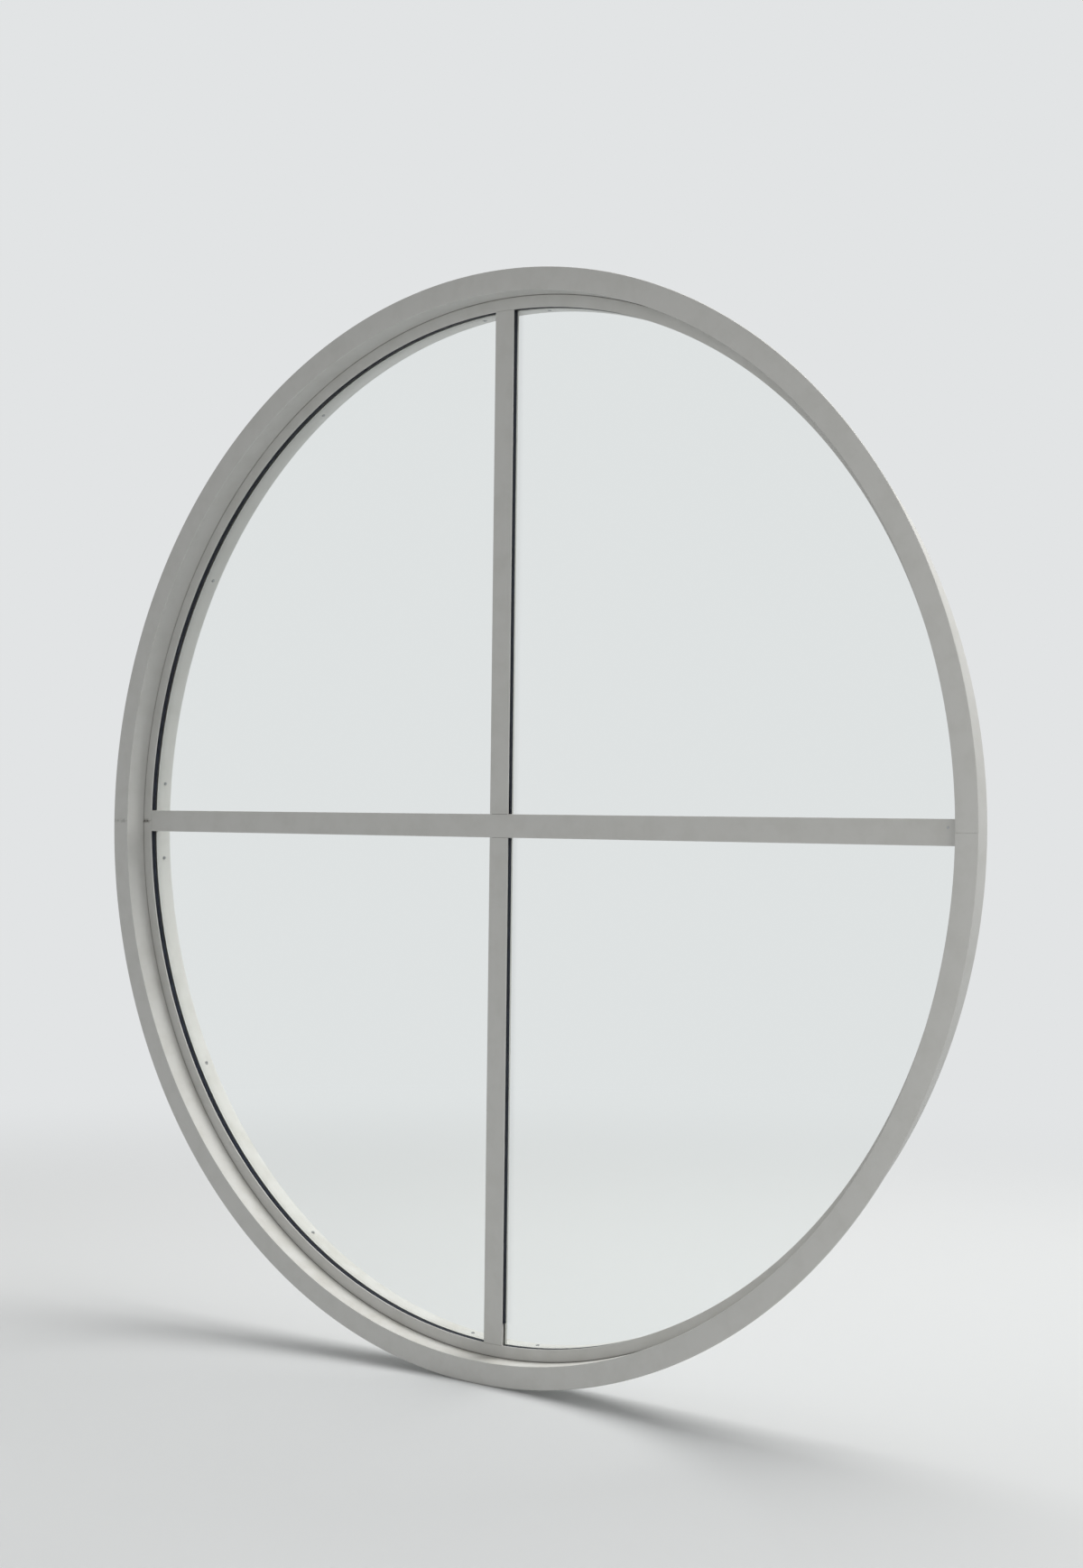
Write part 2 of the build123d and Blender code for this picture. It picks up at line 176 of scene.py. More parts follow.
class RoundWindowColours(bpy.types.PropertyGroup):
    paint: colour("Paint", "Powder coat of the frame and bars", "#cbcbc8")
    paint_dust: colour("Dust", "Film of dust on faces that look up", "#b4b1a8")
    # This colour is both the dirt in the joints and the stain, and the painted shade that darkens
    # inner corners
    dirt_and_corner_shade: colour("Joint dirt and corner shade", "Dirt in joints, painted shade in inner corners", "#6f6b66")
    rubber: colour("Rubber", "Gasket rubber", "#10141f")
    rubber_bloom: colour("Rubber bloom", "Grey bloom of aged gasket rubber", "#262c38")
    glass: colour("Glass", "Tint of the panes", "#fbfdfc")
    steel: colour("Steel", "Screws and rivet", "#b4b6b8")
    mill: colour("Bare aluminium", "Unpainted cleats and blocks", "#c3c5c6")
    foam: colour("Foam tape", "Glazing tape outdoors", "#d5d6d2")
    backdrop: colour("Backdrop", "Floor and background", "#e2e4e5")


# Procedural finishes

def add(tree, kind, inputs=None, **settings):
    """Add a node, set its properties, and set or link its inputs."""
    made = tree.nodes.new("ShaderNode" + kind)
    for name, value in settings.items():
        setattr(made, name, value)
    for name, value in (inputs or {}).items():
        if isinstance(value, bpy.types.NodeSocket):
            tree.links.new(value, made.inputs[name])
        else:
            made.inputs[name].default_value = value
    return made


def started(name, **values):
    """A new material with its shader's constants set; returns it with tree, shader and place."""
    material = bpy.data.materials.new(name)
    material.use_nodes = True
    tree = material.node_tree
    shader = tree.nodes["Principled BSDF"]
    for socket, value in values.items():
        shader.inputs[socket.replace("_", " ")].default_value = value
    place = add(tree, "TexCoord").outputs["Object"]
    return material, tree, shader, place


def powder_coat():
    """Satin polyester powder coat: soft sheen with a faint orange peel, a little dust on top, and
    painted shade in its inner corners.
    """
    colours = bpy.context.scene.round_window_colours
    material, tree, shader, place = started("powder_coated_aluminium", IOR=1.5)
    # Orange peel is about 3 mm from crest to crest, drawn at 9 mm so that it shows
    peel = add(tree, "TexNoise", {"Vector": place, "Scale": 1 / (9 * MM),
                                  "Detail": 2.0}).outputs["Fac"]
    # The rolled profile undulates over about 160 mm
    roll = add(tree, "TexNoise", {"Vector": place, "Scale": 1 / (160 * MM),
                                  "Detail": 1.0}).outputs["Fac"]
    # Grime and wiping leave patches about 60 mm wide
    patch = add(tree, "TexNoise", {"Vector": place, "Scale": 1 / (60 * MM), "Detail": 5.0,
                                   "Roughness": 0.62}).outputs["Fac"]
    normal = add(tree, "NewGeometry").outputs["Normal"]
    upward = add(tree, "SeparateXYZ", {"Vector": normal}).outputs["Z"]
    lying = add(tree, "MapRange", {"Value": upward, "From Min": 0.2,
                                   "From Max": 1.0}).outputs["Result"]
    dusty = add(tree, "MapRange", {"Value": patch, "From Min": 0.35, "From Max": 0.7,
                                   "To Max": 0.5}).outputs["Result"]
    film = add(tree, "Math", {0: lying, 1: dusty}, operation="MULTIPLY").outputs["Value"]
    shaded = [c * f for c, f in zip(colours.paint, (0.93, 0.93, 0.92, 1.0))]
    grime = add(tree, "MapRange", {"Value": patch, "From Min": 0.45,
                                   "From Max": 0.75}).outputs["Result"]
    tone = add(tree, "Mix", {"Factor": grime, "A": colours.paint, "B": shaded},
               data_type="RGBA").outputs["Result"]
    dusted = add(tree, "Mix", {"Factor": film, "A": tone, "B": colours.paint_dust},
                 data_type="RGBA").outputs["Result"]
    rough = add(tree, "MapRange", {"Value": patch, "To Min": 0.34,
                                   "To Max": 0.5}).outputs["Result"]
    waves = add(tree, "Bump", {"Height": roll, "Distance": 1.2 * MM, "Strength": 0.6})
    grain = add(tree, "Bump", {"Height": peel, "Distance": 0.12 * MM, "Strength": 0.7,
                               "Normal": waves.outputs["Normal"]})
    # An ambient occlusion mask, reaching about 8 mm, darkens the joints and inner corners towards
    # the dirt colour: in the joints it stands for dirt, in the inner corners it is painted shade
    corner_occlusion = add(tree, "AmbientOcclusion", {"Distance": 8 * MM}, samples=8).outputs["AO"]
    clean_and_unshaded = add(tree, "MapRange", {"Value": corner_occlusion, "From Min": 0.05, "From Max": 0.75,
                                   "To Min": 0.3}).outputs["Result"]
    painted = add(tree, "Mix", {"Factor": clean_and_unshaded, "A": colours.dirt_and_corner_shade, "B": dusted},
                  data_type="RGBA").outputs["Result"]
    # The left butt joint is stained for about 7 mm to each side, in flecks about 9 mm wide
    spot = add(tree, "SeparateXYZ", {"Vector": place}).outputs
    off = add(tree, "Math", {0: spot["Z"]}, operation="ABSOLUTE").outputs["Value"]
    near = add(tree, "MapRange", {"Value": off, "From Min": 7 * MM,
                                  "From Max": 1 * MM}).outputs["Result"]
    left = add(tree, "Math", {0: spot["X"], 1: -SIGHT_RADIUS},
               operation="LESS_THAN").outputs["Value"]
    fleck = add(tree, "TexNoise", {"Vector": place, "Scale": 1 / (9 * MM),
                                   "Detail": 3.0}).outputs["Fac"]
    blot = add(tree, "MapRange", {"Value": fleck, "From Min": 0.4,
                                  "From Max": 0.62}).outputs["Result"]
    on_face = add(tree, "Math", {0: spot["Y"], 1: FACE_FRONT, 2: 2 * MM},
                  operation="COMPARE").outputs["Value"]
    on_flange = add(tree, "Math", {0: spot["Y"], 1: FLANGE_FRONT + 0.3 * MM},
                    operation="LESS_THAN").outputs["Value"]
    weak = add(tree, "Math", {0: on_flange, 1: 0.45}, operation="MULTIPLY").outputs["Value"]
    shown = add(tree, "Math", {0: on_face, 1: weak}, operation="ADD").outputs["Value"]
    band = add(tree, "Math", {0: near, 1: left}, operation="MULTIPLY").outputs["Value"]
    patches = add(tree, "Math", {0: band, 1: blot}, operation="MULTIPLY").outputs["Value"]
    stain = add(tree, "Math", {0: patches, 1: shown}, operation="MULTIPLY").outputs["Value"]
    stained = add(tree, "Mix", {"Factor": stain, "A": painted, "B": colours.dirt_and_corner_shade},
                  data_type="RGBA").outputs["Result"]
    tree.links.new(stained, shader.inputs["Base Color"])
    tree.links.new(rough, shader.inputs["Roughness"])
    tree.links.new(grain.outputs["Normal"], shader.inputs["Normal"])
    return material


def gasket_rubber():
    """Extruded EPDM: blue-black and matt, with a grey bloom and fine draw lines."""
    colours = bpy.context.scene.round_window_colours
    material, tree, shader, place = started("epdm_rubber", IOR=1.5)
    # Bloom comes in patches about 25 mm long
    bloom = add(tree, "TexNoise", {"Vector": place, "Scale": 1 / (25 * MM), "Detail": 6.0,
                                   "Roughness": 0.6}).outputs["Fac"]
    # Skin texture of about 1 mm, drawn at 3 mm so that it shows
    skin = add(tree, "TexNoise", {"Vector": place, "Scale": 1 / (3 * MM),
                                  "Detail": 3.0}).outputs["Fac"]
    spread = add(tree, "MapRange", {"Value": bloom, "From Min": 0.45,
                                    "From Max": 0.8}).outputs["Result"]
    tone = add(tree, "Mix", {"Factor": spread, "A": colours.rubber, "B": colours.rubber_bloom},
               data_type="RGBA").outputs["Result"]
    rough = add(tree, "MapRange", {"Value": bloom, "To Min": 0.5, "To Max": 0.75}).outputs["Result"]
    grain = add(tree, "Bump", {"Height": skin, "Distance": 0.1 * MM,
                               "Strength": 0.6}).outputs["Normal"]
    tree.links.new(tone, shader.inputs["Base Color"])
    tree.links.new(rough, shader.inputs["Roughness"])
    tree.links.new(grain, shader.inputs["Normal"])
    return material


def float_glass():
    """Clear soda-lime float glass: smooth and barely green, with faint wiping smears."""
    colours = bpy.context.scene.round_window_colours
    material, tree, shader, place = started("float_glass", IOR=1.52, Transmission_Weight=1.0,
                                            Base_Color=colours.glass)
    # Smears from wiping are about 80 mm wide
    smear = add(tree, "TexNoise", {"Vector": place, "Scale": 1 / (80 * MM), "Detail": 4.0,
                                   "Distortion": 1.5}).outputs["Fac"]
    rough = add(tree, "MapRange", {"Value": smear, "From Min": 0.5, "From Max": 0.8,
                                   "To Max": 0.03}).outputs["Result"]
    tree.links.new(rough, shader.inputs["Roughness"])
    return material


def screw_steel():
    """Stainless steel screws: bright, turned and a little dulled."""
    colours = bpy.context.scene.round_window_colours
    material, tree, shader, place = started("stainless_steel", Metallic=1.0)
    # Dulling comes in spots of about 1.5 mm
    dull = add(tree, "TexNoise", {"Vector": place, "Scale": 1 / (1.5 * MM),
                                  "Detail": 4.0}).outputs["Fac"]
    stained = [c * 0.7 for c in colours.steel[:3]] + [1.0]
    tone = add(tree, "Mix", {"Factor": dull, "A": colours.steel, "B": stained},
               data_type="RGBA").outputs["Result"]
    rough = add(tree, "MapRange", {"Value": dull, "To Min": 0.22, "To Max": 0.5}).outputs["Result"]
    tree.links.new(tone, shader.inputs["Base Color"])
    tree.links.new(rough, shader.inputs["Roughness"])
    return material


def mill_aluminium():
    """Extruded aluminium as it leaves the mill: soft grey shine with fine die lines."""
    colours = bpy.context.scene.round_window_colours
    material, tree, shader, place = started("mill_finish_aluminium", Metallic=1.0)
    # Die lines are about 0.4 mm apart, drawn at 1 mm so that they show
    squeezed = add(tree, "Mapping", {"Vector": place, "Scale": (0.02, 1.0, 1.0)}).outputs["Vector"]
    lines = add(tree, "TexNoise", {"Vector": squeezed, "Scale": 1 / MM,
                                   "Detail": 2.0}).outputs["Fac"]
    darker = [c * 0.85 for c in colours.mill[:3]] + [1.0]
    tone = add(tree, "Mix", {"Factor": lines, "A": colours.mill, "B": darker},
               data_type="RGBA").outputs["Result"]
    rough = add(tree, "MapRange", {"Value": lines, "To Min": 0.3, "To Max": 0.48}).outputs["Result"]
    tree.links.new(tone, shader.inputs["Base Color"])
    tree.links.new(rough, shader.inputs["Roughness"])
    return material


def foam_tape():
    """Closed-cell polyethylene foam tape: off-white, matt and finely pitted."""
    colours = bpy.context.scene.round_window_colours
    material, tree, shader, place = started("polyethylene_foam", IOR=1.5, Roughness=0.85)
    # Foam cells are about 0.4 mm across, drawn at 1.5 mm so that they show
    cells = add(tree, "TexVoronoi", {"Vector": place, "Scale": 1 / (1.5 * MM)}).outputs["Distance"]
    darker = [c * 0.86 for c in colours.foam[:3]] + [1.0]
    tone = add(tree, "Mix", {"Factor": cells, "A": colours.foam, "B": darker},
               data_type="RGBA").outputs["Result"]
    pits = add(tree, "Bump", {"Height": cells, "Distance": 0.2 * MM,
                              "Strength": 0.6}).outputs["Normal"]
    tree.links.new(tone, shader.inputs["Base Color"])
    tree.links.new(pits, shader.inputs["Normal"])
    return material


FINISHES = {
    "white_paint": powder_coat,
    "black_rubber": gasket_rubber,
    "block_rubber": gasket_rubber,
    "clear_glass": float_glass,
    "screw_steel": screw_steel,
    "mill_aluminium": mill_aluminium,
    "white_tape": foam_tape,
}
made_finishes = {}


def finish(slot):
    """The finish of a material slot, made when it is first asked for."""
    make = FINISHES[slot]
    if make not in made_finishes:
        made_finishes[make] = make()
    return made_finishes[make]


# Mesh helpers

def rounded(corners, steps=4):
    """Flat outline from (x, y, radius) corners, each eased by its radius."""
    points = [Vector(c[:2]) for c in corners]
    eased = []
    for i, (corner, (_, _, radius)) in enumerate(zip(points, corners)):
        if not radius:
            eased.append(corner)
            continue
        before = (points[i - 1] - corner).normalized()
        after = (points[(i + 1) % len(points)] - corner).normalized()
        reach = radius / sqrt((1 - before.dot(after)) / (1 + before.dot(after)) + 1e-9)
        first, last = corner + before * reach, corner + after * reach
        for step in range(steps + 1):
            t = step / steps
            eased.append(first * (1 - t) ** 2 + corner * 2 * t * (1 - t) + last * t ** 2)
    return eased


def lofted(name, stations):
    """Mesh through matching outlines in space, closed by flat faces at both ends."""
    mesh = bmesh.new()
    rings = [[[mesh.verts.new(p) for p in loop] for loop in station] for station in stations]
    for before, after in zip(rings, rings[1:]):
        for a, b in zip(before, after):
            for i in range(len(a)):
                mesh.faces.new((a[i - 1], a[i], b[i], b[i - 1]))
    for end in (0, -1):
        corners = [v for loop in rings[end] for v in loop]
        for triangle in tessellate_polygon(stations[end]):
            mesh.faces.new([corners[i] for i in triangle])
    return finished_mesh(name, mesh)


def finished_mesh(name, mesh):
    """Object from a bmesh, smooth but for its real edges."""
    bmesh.ops.recalc_face_normals(mesh, faces=mesh.faces)
    data = bpy.data.meshes.new(name)
    mesh.to_mesh(data)
    mesh.free()
    data.shade_smooth()
    data.set_sharp_from_angle(angle=SMOOTH_LIMIT)
    piece = bpy.data.objects.new(name, data)
    bpy.context.scene.collection.objects.link(piece)
    return piece


def dressed(piece, slot, *nodes):
    """Give a new piece its finish, its place in the frame and the nodes it stands for."""
    piece.data.materials.append(finish(slot))
    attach(piece, "root")
    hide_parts(*nodes)
    return piece


def repaint(slot, *starts):
    """Give CAD nodes that keep their shape their finish."""
    for name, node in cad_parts.items():
        if name.startswith(starts):
            node.data.materials.clear()
            node.data.materials.append(finish(slot))


def on_ring(radius, depth, angle):
    return Vector((radius * cos(angle), depth, radius * sin(angle)))


def turned(loops, start, end, ease=0.0, front=0.0):
    """Stations of (radius, depth) outlines swept from one angle to another, eased at the ends."""
    step = bpy.context.scene.round_window_sizes.turning
    count = ceil((end - start) / step)
    angles = [start + (end - start) * i / count for i in range(count + 1)]
    stations = [[[on_ring(r, y, a) for r, y in loop] for loop in loops] for a in angles]
    if ease:
        nib = ease / loops[0][0][0]
        eased = [[(r, max(y, front + ease)) for r, y in loop] for loop in loops]
        ends = [[[on_ring(r, y, a) for r, y in loop] for loop in eased] for a in (start, end)]
        second = [[[on_ring(r, y, a) for r, y in loop] for loop in loops]
                  for a in (start + nib, end - nib)]
        stations = [ends[0], second[0]] + stations[1:-1] + [second[1], ends[1]]
    return stations


class RoundWindowStep:
    """What every step of the window shares."""
    bl_options = {"REGISTER", "UNDO"}

    @property
    def sizes(self):
        return bpy.context.scene.round_window_sizes


class MakeCasing(RoundWindowStep, bpy.types.Operator):
    """Rolled casing in two halves: the flange against the wall and the sleeve behind it"""
    bl_idname = "round_window.casing"
    bl_label = "Casing"

    def execute(self, context):
        s = self.sizes
        inner = RING_RADIUS + RING_CLEARANCE
        outer = inner + s.casing_wall
        flange_back = FLANGE_FRONT + s.casing_wall
        section = rounded([
            (inner, FLANGE_FRONT, s.flange_arris), (FLANGE_RADIUS, FLANGE_FRONT, s.flange_arris),
            (FLANGE_RADIUS, flange_back, HIDDEN_EASE), (outer, flange_back, 0),
            (outer, FRAME_BACK, SLEEVE_EASE), (inner, FRAME_BACK, SLEEVE_EASE)])
        trim = s.joint_gap / 2 / inner
        for half, start in HALF_STARTS.items():
            stations = turned([section], start + trim, start + pi - trim, s.joint_ease,
                              FLANGE_FRONT)
            dressed(lofted(f"rolled_casing_{half}", stations), "white_paint", f"casing_{half}")
        return {"FINISHED"}


class MakeGlazingRing(RoundWindowStep, bpy.types.Operator):
    """Glazing ring in two halves: narrow face, hollow front leg and the web behind it"""
    bl_idname = "round_window.glazing_ring"
    bl_label = "Glazing ring"

    def execute(self, context):
        s = self.sizes
        lip_back, leg_back = FACE_FRONT + s.lip, FACE_FRONT + s.leg
        pocket, rebate = RING_RADIUS - s.web, SIGHT_RADIUS + s.rebate
        section = rounded([
            (SIGHT_RADIUS, FACE_FRONT, s.face_arris), (RING_RADIUS, FACE_FRONT, s.face_arris),
            (RING_RADIUS, FRAME_BACK, HIDDEN_EASE), (pocket, FRAME_BACK, HIDDEN_EASE),
            (pocket, leg_back, 0), (rebate, leg_back, HIDDEN_EASE), (rebate, lip_back, 0),
            (SIGHT_RADIUS, lip_back, HIDDEN_EASE)])
        chamber = rounded([
            (rebate + s.leg_wall, lip_back, 0), (pocket, lip_back, 0),
            (pocket, leg_back - s.leg_wall, 0), (rebate + s.leg_wall, leg_back - s.leg_wall, 0)])
        trim = s.joint_gap / 2 / SIGHT_RADIUS
        for half, start in HALF_STARTS.items():
            stations = turned([section, chamber], start + trim, start + pi - trim, s.joint_ease,
                              FACE_FRONT)
            dressed(lofted(f"face_ring_{half}", stations), "white_paint", f"glazing_ring_{half}")
        return {"FINISHED"}


class MakeOuterStops(RoundWindowStep, bpy.types.Operator):
    """Four rolled tubes that hold the glass from outdoors"""
    bl_idname = "round_window.outer_stops"
    bl_label = "Outer stops"

    def execute(self, context):
        s = self.sizes
        section = rounded([
            (SIGHT_RADIUS, STOP_FRONT, STOP_GLASS_EASE), (SIGHT_RADIUS, FRAME_BACK, s.face_arris),
            (STOP_RADIUS, FRAME_BACK, STOP_RING_EASE), (STOP_RADIUS, STOP_FRONT, STOP_RING_EASE)])
        wall = s.stop_wall
        hollow = rounded([
            (SIGHT_RADIUS + wall, STOP_FRONT + wall, 0),
            (SIGHT_RADIUS + wall, FRAME_BACK - wall, 0),
            (STOP_RADIUS - wall, FRAME_BACK - wall, 0),
            (STOP_RADIUS - wall, STOP_FRONT + wall, 0)])
        trim = s.joint_gap / SIGHT_RADIUS
        for corner, start in zip(CORNERS, QUARTER_STARTS):
            stations = turned([section, hollow], start + trim, start + pi / 2 - trim)
            piece = lofted(f"glazing_stop_{corner}", stations)
            dressed(piece, "white_paint", f"outer_stop_{corner}")
        return {"FINISHED"}


def gasket_outline(seat, wedge, edge, lip_back, leg_back, pulled=0.0):
    """Gasket section as (across, depth): two ribs with a groove between them."""
    into = 1 if seat > edge else -1
    front = lip_back + pulled
    foot = max(leg_back, front + LEAST_SEAT)
    opens, floor_start, floor_end, closes = (front + rise for rise in GROOVE_RISES)
    groove = edge + into * GROOVE_DEPTH
    return [Vector(p) for p in (
        (edge, front), (seat, front), (seat, foot), (wedge, foot), (wedge, GLASS_FRONT),
        (edge + into * CHAMFER_ACROSS, GLASS_FRONT), (edge, GLASS_FRONT - CHAMFER_DEEP),
        (edge, closes), (groove, floor_end), (groove, floor_start), (edge, opens))]


class MakeGaskets(RoundWindowStep, bpy.types.Operator):
    """Black rubber gaskets between the glass and the frame, one round and two straight to a pane"""
    bl_idname = "round_window.gaskets"
    bl_label = "Gaskets"

    def execute(self, context):
        s = self.sizes
        lip_back, leg_back = FACE_FRONT + s.lip, FACE_FRONT + s.leg
        arc = gasket_outline(SIGHT_RADIUS + s.rebate, SIGHT_RADIUS + s.bed, SIGHT_RADIUS,
                             lip_back, leg_back)
        gap = GASKET_START / SIGHT_RADIUS
        for corner, start in zip(CORNERS, QUARTER_STARTS):
            stations = turned([arc], start + gap, start + pi / 2 - gap)
            piece = lofted(f"rubber_arc_{corner}", stations)
            dressed(piece, "black_rubber", f"gasket_arc_{corner}")
            for run in ("sill", "jamb"):
                piece = self.straight(corner, run, lip_back, leg_back)
                dressed(piece, "black_rubber", f"gasket_{run}_{corner}")
        return {"FINISHED"}

    def straight(self, corner, run, lip_back, leg_back):
        """A gasket along a bar, from the crossing out to the ring; two upright ones are flawed."""
        s = self.sizes
        side_x, side_z = CORNERS[corner]
        end = SIGHT_RADIUS - GASKET_CLEARANCE
        short = s.gasket_short if (corner, run) == ("lower_right", "jamb") else 0.0
        slip = s.gasket_slip if (corner, run) == ("upper_right", "jamb") else 0.0
        stations = []
        for i in range(GASKET_STEPS + 1):
            t = i / GASKET_STEPS
            pulled = max(0.0, 1 - t * (end - GASKET_START) / s.slip_run) * slip
            outline = gasket_outline(BAR_HALF - s.rebate, BAR_HALF - s.bed, BAR_HALF,
                                     lip_back, leg_back, pulled)
            loop = []
            for across, depth in outline:
                stop = sqrt(end ** 2 - across ** 2) - short
                along = GASKET_START + t * (stop - GASKET_START)
                u, v = (along, across) if run == "sill" else (across, along)
                loop.append(Vector((side_x * u, depth, side_z * v)))
            stations.append([loop])
        return lofted(f"rubber_{run}_{corner}", stations)


class PaintBars(RoundWindowStep, bpy.types.Operator):
    """Powder coat on the glazing bars and the caps outdoors"""
    bl_idname = "round_window.bars"
    bl_label = "Bars and caps"

    def execute(self, context):
        repaint("white_paint", "horizontal_bar", "vertical_bar")
        repaint("white_paint", "cap_horizontal", "cap_upper", "cap_lower")
        return {"FINISHED"}


class GlazePanes(RoundWindowStep, bpy.types.Operator):
    """Clear float glass in the four panes, with foam tape behind it"""
    bl_idname = "round_window.panes"
    bl_label = "Panes"

    def execute(self, context):
        repaint("clear_glass", "glass_")
        repaint("white_tape", "glazing_tape_")
        for name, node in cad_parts.items():
            if name.startswith("glass_"):
                node.visible_shadow = False
        return {"FINISHED"}


def recess_radius(turn, arm, half_width):
    """Outline of a cross recess as a distance from its centre."""
    off = (turn + pi / 4) % (pi / 2) - pi / 4
    return min(arm / cos(off), half_width / max(abs(sin(off)), 1e-6))


def add_screw(mesh, place, towards, twist, head, height, shank, length):
    """Pan head screw with a cross recess; its seat is at a place and its head faces a way."""
    level = towards.to_track_quat("Z", "Y")
    arm, half_width = RECESS_REACH * head, RECESS_HALF * head
    # Each ring is (radius, height); a negative radius is a share of the recess's outline
    rings = [(-0.5, 0.45 * height), (-1.0, 0.95 * height), (0.62 * head, 0.97 * height),
             (0.8 * head, 0.86 * height), (0.94 * head, 0.6 * height), (head, 0.25 * height),
             (head, 0.0), (shank, 0.0), (shank, shank - length), (0.3 * shank, -length)]
    made = []
    for radius, rise in rings:
        ring = []
        for i in range(SCREW_SIDES):
            turn = 2 * pi * i / SCREW_SIDES
            reach = -radius * recess_radius(turn, arm, half_width) if radius < 0 else radius
            local = Vector((reach * cos(turn + twist), reach * sin(turn + twist), rise))
            ring.append(mesh.verts.new(place + level @ local))
        made.append(ring)
    for a, b in zip(made, made[1:]):
        for i in range(SCREW_SIDES):
            mesh.faces.new((a[i - 1], a[i], b[i], b[i - 1]))
    mesh.faces.new(made[0])
    mesh.faces.new(made[-1])


class DriveScrews(RoundWindowStep, bpy.types.Operator):
    """Pan head screws in the outer stops and in the caps of the bars"""
    bl_idname = "round_window.screws"
    bl_label = "Screws"

    def execute(self, context):
        s = self.sizes
        depth = (STOP_FRONT + FRAME_BACK) / 2
        spread = (pi / 2 - 2 * STOP_SCREW_MARGIN) / (STOP_SCREWS - 1)
        stops = bmesh.new()
        for quarter, start in enumerate(QUARTER_STARTS):
            for i in range(STOP_SCREWS):
                angle = start + STOP_SCREW_MARGIN + i * spread
                place = on_ring(SIGHT_RADIUS - STOP_SCREW_SEAT, depth, angle)
                inward = Vector((-cos(angle), 0.0, -sin(angle)))
                add_screw(stops, place, inward, STOP_TWIST * i + quarter, s.stop_head,
                          STOP_HEAD_RISE * s.stop_head, STOP_SHANK, RING_RADIUS - SIGHT_RADIUS)
        dressed(finished_mesh("pan_head_screws_stops", stops), "screw_steel", "stop_screws")
        caps = bmesh.new()
        outdoors = Vector((0.0, 1.0, 0.0))
        for across, along, twist in self.cap_places():
            add_screw(caps, Vector((across, CAP_BACK, along)), outdoors, twist, s.cap_head,
                      CAP_HEAD_RISE * s.cap_head, CAP_SHANK, CAP_SCREW_LENGTH)
        dressed(finished_mesh("pan_head_screws_caps", caps), "screw_steel", "cap_screws")
        return {"FINISHED"}

    def cap_places(self):
        """Screws along the horizontal cap and each upright one, as (across, along, twist)."""
        end = SIGHT_RADIUS - CAP_SCREW_MARGIN
        pitch = 2 * end / (CAP_SCREWS - 1)
        places = [(-end + pitch * i, 0.0, CAP_TWIST * i) for i in range(CAP_SCREWS)]
        pitch = (end - CROSSING_MARGIN) / (UPRIGHT_SCREWS - 1)
        for side in (1, -1):
            for i in range(UPRIGHT_SCREWS):
                places.append((0.0, side * (CROSSING_MARGIN + pitch * i), UPRIGHT_TWIST * i + side))
        return places


class FinishFittings(RoundWindowStep, bpy.types.Operator):
    """Cleats, spigots, end blocks, setting blocks and screws inside the frame, and the rivet"""
    bl_idname = "round_window.fittings"
    bl_label = "Fittings"

    def execute(self, context):
        repaint("mill_aluminium", "centre_cleat", "side_cleat", "end_cleat")
        repaint("mill_aluminium", "ring_spigot", "bar_end_block")
        repaint("block_rubber", "setting_blocks")
        repaint("screw_steel", "ring_screws", "cleat_screws", "bar_rivet")
        return {"FINISHED"}


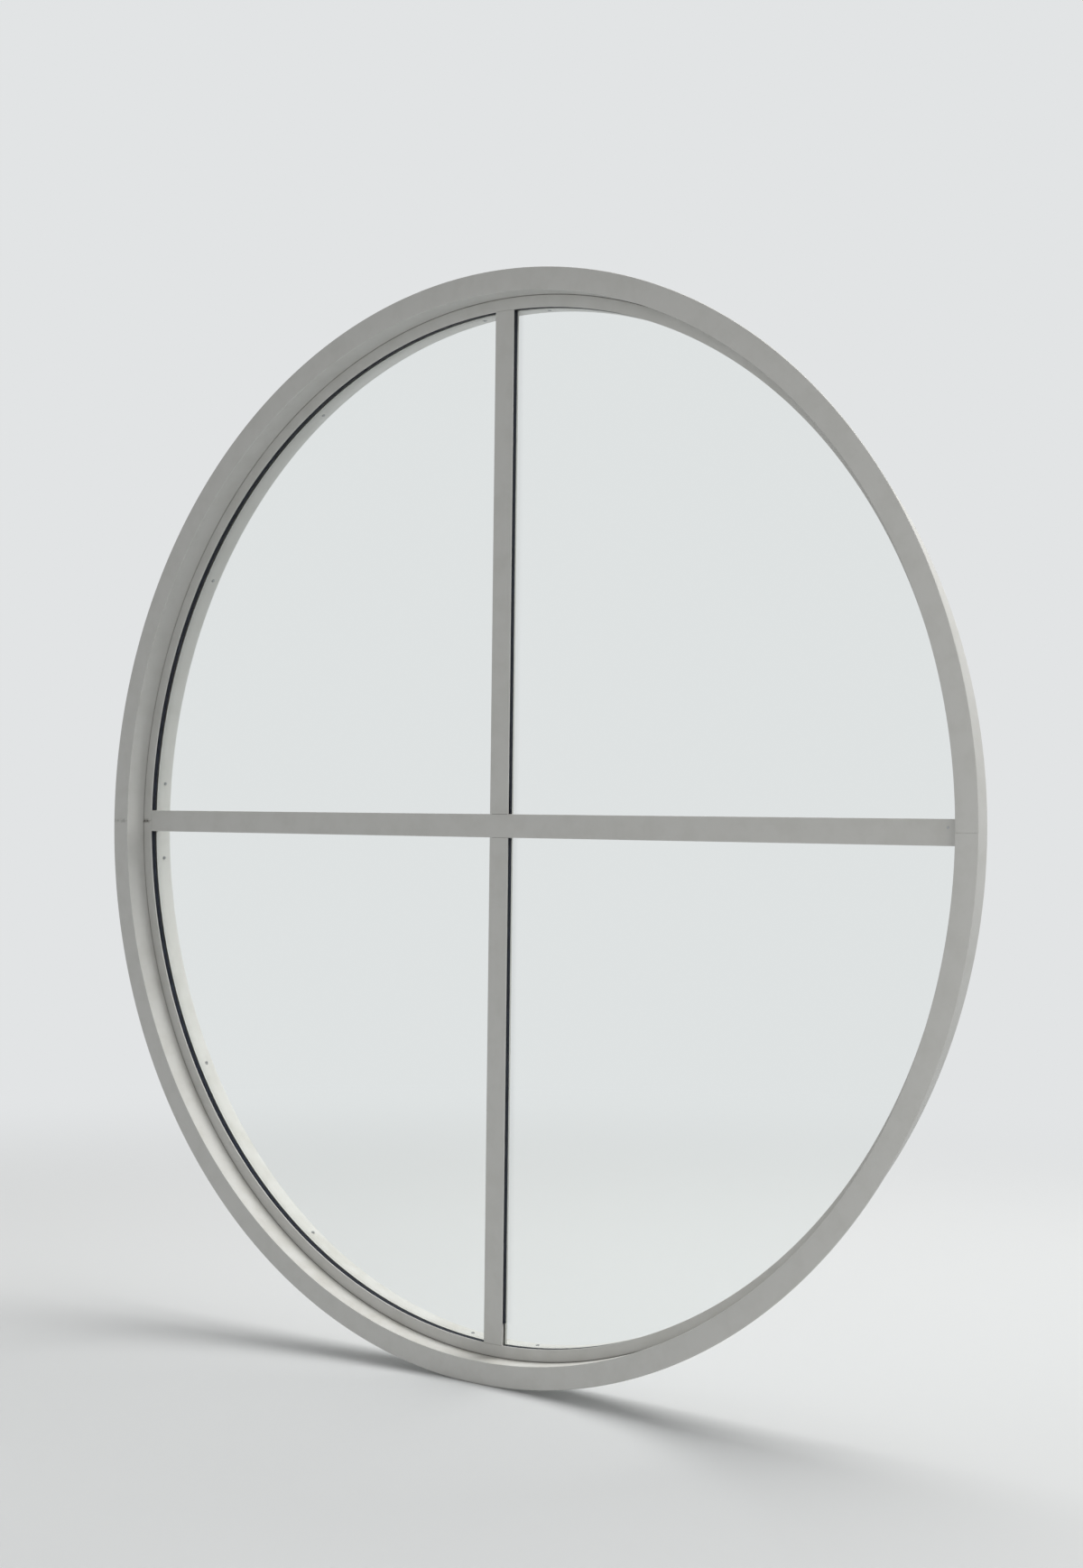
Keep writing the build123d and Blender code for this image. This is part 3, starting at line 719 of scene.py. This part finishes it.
class SetStudio(RoundWindowStep, bpy.types.Operator):
    """Pale floor and background, soft lamps and the camera"""
    bl_idname = "round_window.studio"
    bl_label = "Studio"

    def execute(self, context):
        floor = self.floor()
        self.surroundings()
        sky = self.lamp("sky", *SKY_LAMP)
        room = self.lamp("room", *ROOM_LAMP)
        self.lamp("sky_on_floor", *FLOOR_LAMP, [floor])
        self.spare([sky, room], floor)
        self.camera()
        context.scene.view_settings.view_transform = "Standard"
        return {"FINISHED"}

    def floor(self):
        """Floor that fades into the background away from the window."""
        colours = bpy.context.scene.round_window_colours
        mesh = bmesh.new()
        bmesh.ops.create_circle(mesh, cap_ends=True, segments=96, radius=FLOOR_RADIUS)
        floor = finished_mesh("studio_floor", mesh)
        floor.location.z = CAD_BOX[0].z - FLOOR_CLEARANCE
        material, tree, shader, place = started("studio_floor", Roughness=0.9)
        shader.inputs["Base Color"].default_value = colours.backdrop
        away = add(tree, "VectorMath", {0: place}, operation="LENGTH").outputs["Value"]
        far = add(tree, "MapRange", {"Value": away, "From Min": FADE_START, "From Max": FADE_END},
                  interpolation_type="SMOOTHERSTEP").outputs["Result"]
        # The floor is trowelled, with waves about 40 mm long
        grain = add(tree, "TexNoise", {"Vector": place, "Scale": 1 / (40 * MM),
                                       "Detail": 3.0}).outputs["Fac"]
        lift = add(tree, "Bump", {"Height": grain, "Distance": 0.2 * MM}).outputs["Normal"]
        tree.links.new(lift, shader.inputs["Normal"])
        shown = add(tree, "Math", {0: far, 1: self.seen(tree)},
                    operation="MULTIPLY").outputs["Value"]
        glow = add(tree, "Emission", {"Color": colours.backdrop,
                                      "Strength": 1.0}).outputs["Emission"]
        both = add(tree, "MixShader", {0: shown, 1: shader.outputs["BSDF"],
                                       2: glow}).outputs["Shader"]
        tree.links.new(both, tree.nodes["Material Output"].inputs["Surface"])
        floor.data.materials.append(material)
        return floor

    def seen(self, tree):
        """One for rays that show the background: straight, mirrored or through the glass."""
        ray = add(tree, "LightPath").outputs
        first = add(tree, "Math", {0: ray["Is Camera Ray"], 1: ray["Is Glossy Ray"]},
                    operation="MAXIMUM").outputs["Value"]
        return add(tree, "Math", {0: first, 1: ray["Is Transmission Ray"]},
                   operation="MAXIMUM").outputs["Value"]

    def surroundings(self):
        """World that is pale to look at and lights the window softly."""
        colours = bpy.context.scene.round_window_colours
        world = bpy.data.worlds.new("studio")
        bpy.context.scene.world = world
        world.use_nodes = True
        tree = world.node_tree
        tree.nodes.clear()
        soft = add(tree, "Background", {"Color": WORLD_TINT,
                                        "Strength": WORLD_STRENGTH}).outputs["Background"]
        pale = add(tree, "Background", {"Color": colours.backdrop,
                                        "Strength": 1.0}).outputs["Background"]
        both = add(tree, "MixShader", {0: self.seen(tree), 1: soft, 2: pale}).outputs["Shader"]
        add(tree, "OutputWorld", {"Surface": both})

    def spare(self, lamps, floor):
        """Keep lamps off the floor, so that the pale floor doesn't burn out."""
        spared = bpy.data.collections.new("spared_floor")
        spared.objects.link(floor)
        for lamp in lamps:
            lamp.light_linking.receiver_collection = spared
        spared.collection_objects[0].light_linking.link_state = "EXCLUDE"

    def lamp(self, name, place, size, power, tint, only=()):
        """Soft square lamp that faces the window's middle and may light some objects only."""
        data = bpy.data.lights.new(name, "AREA")
        data.size = size
        data.energy = power
        data.color = tint
        lamp = bpy.data.objects.new(name, data)
        lamp.location = place
        lamp.rotation_mode = "QUATERNION"
        lamp.rotation_quaternion = (-Vector(place)).to_track_quat("-Z", "Y")
        lamp.visible_camera = False
        lamp.visible_transmission = False
        lamp.visible_glossy = False
        bpy.context.scene.collection.objects.link(lamp)
        if only:
            lit = bpy.data.collections.new(f"lit_by_{name}")
            for piece in only:
                lit.objects.link(piece)
            lamp.light_linking.receiver_collection = lit
        return lamp

    def camera(self):
        """Camera at the photograph's viewing angle."""
        data = bpy.data.cameras.new("camera")
        data.sensor_width = SENSOR
        data.lens = FOCAL_PIXELS * SENSOR / PICTURE_HEIGHT
        camera = bpy.data.objects.new("camera", data)
        camera.location = CAMERA_PLACE
        look = Vector(CAMERA_LOOK).to_track_quat("-Z", "Y")
        camera.rotation_mode = "QUATERNION"
        camera.rotation_quaternion = look @ Quaternion((0, 0, 1), CAMERA_ROLL)
        bpy.context.scene.collection.objects.link(camera)
        bpy.context.scene.camera = camera


class RoundWindowPanel(bpy.types.Panel):
    """Steps and values of the round window"""
    bl_idname = "VIEW3D_PT_round_window"
    bl_label = "Round Window"
    bl_space_type = "VIEW_3D"
    bl_region_type = "UI"
    bl_category = "Round Window"

    def draw(self, context):
        for step in STEPS:
            self.layout.operator(step.bl_idname)
        for group in (context.scene.round_window_sizes, context.scene.round_window_colours):
            for name in group.__annotations__:
                self.layout.prop(group, name)


STEPS = (SetStudio, MakeCasing, MakeGlazingRing, PaintBars, MakeGaskets, GlazePanes, MakeOuterStops,
         DriveScrews, FinishFittings)
CLASSES = (RoundWindowSizes, RoundWindowColours) + STEPS + (RoundWindowPanel,)


def register():
    for item in CLASSES:
        bpy.utils.register_class(item)
    bpy.types.Scene.round_window_sizes = bpy.props.PointerProperty(type=RoundWindowSizes)
    bpy.types.Scene.round_window_colours = bpy.props.PointerProperty(type=RoundWindowColours)


def unregister():
    del bpy.types.Scene.round_window_colours
    del bpy.types.Scene.round_window_sizes
    for item in reversed(CLASSES):
        bpy.utils.unregister_class(item)


def main():
    register()
    for step in STEPS:
        group, name = step.bl_idname.split(".")
        getattr(getattr(bpy.ops, group), name)()


if __name__ == "__main__":
    main()
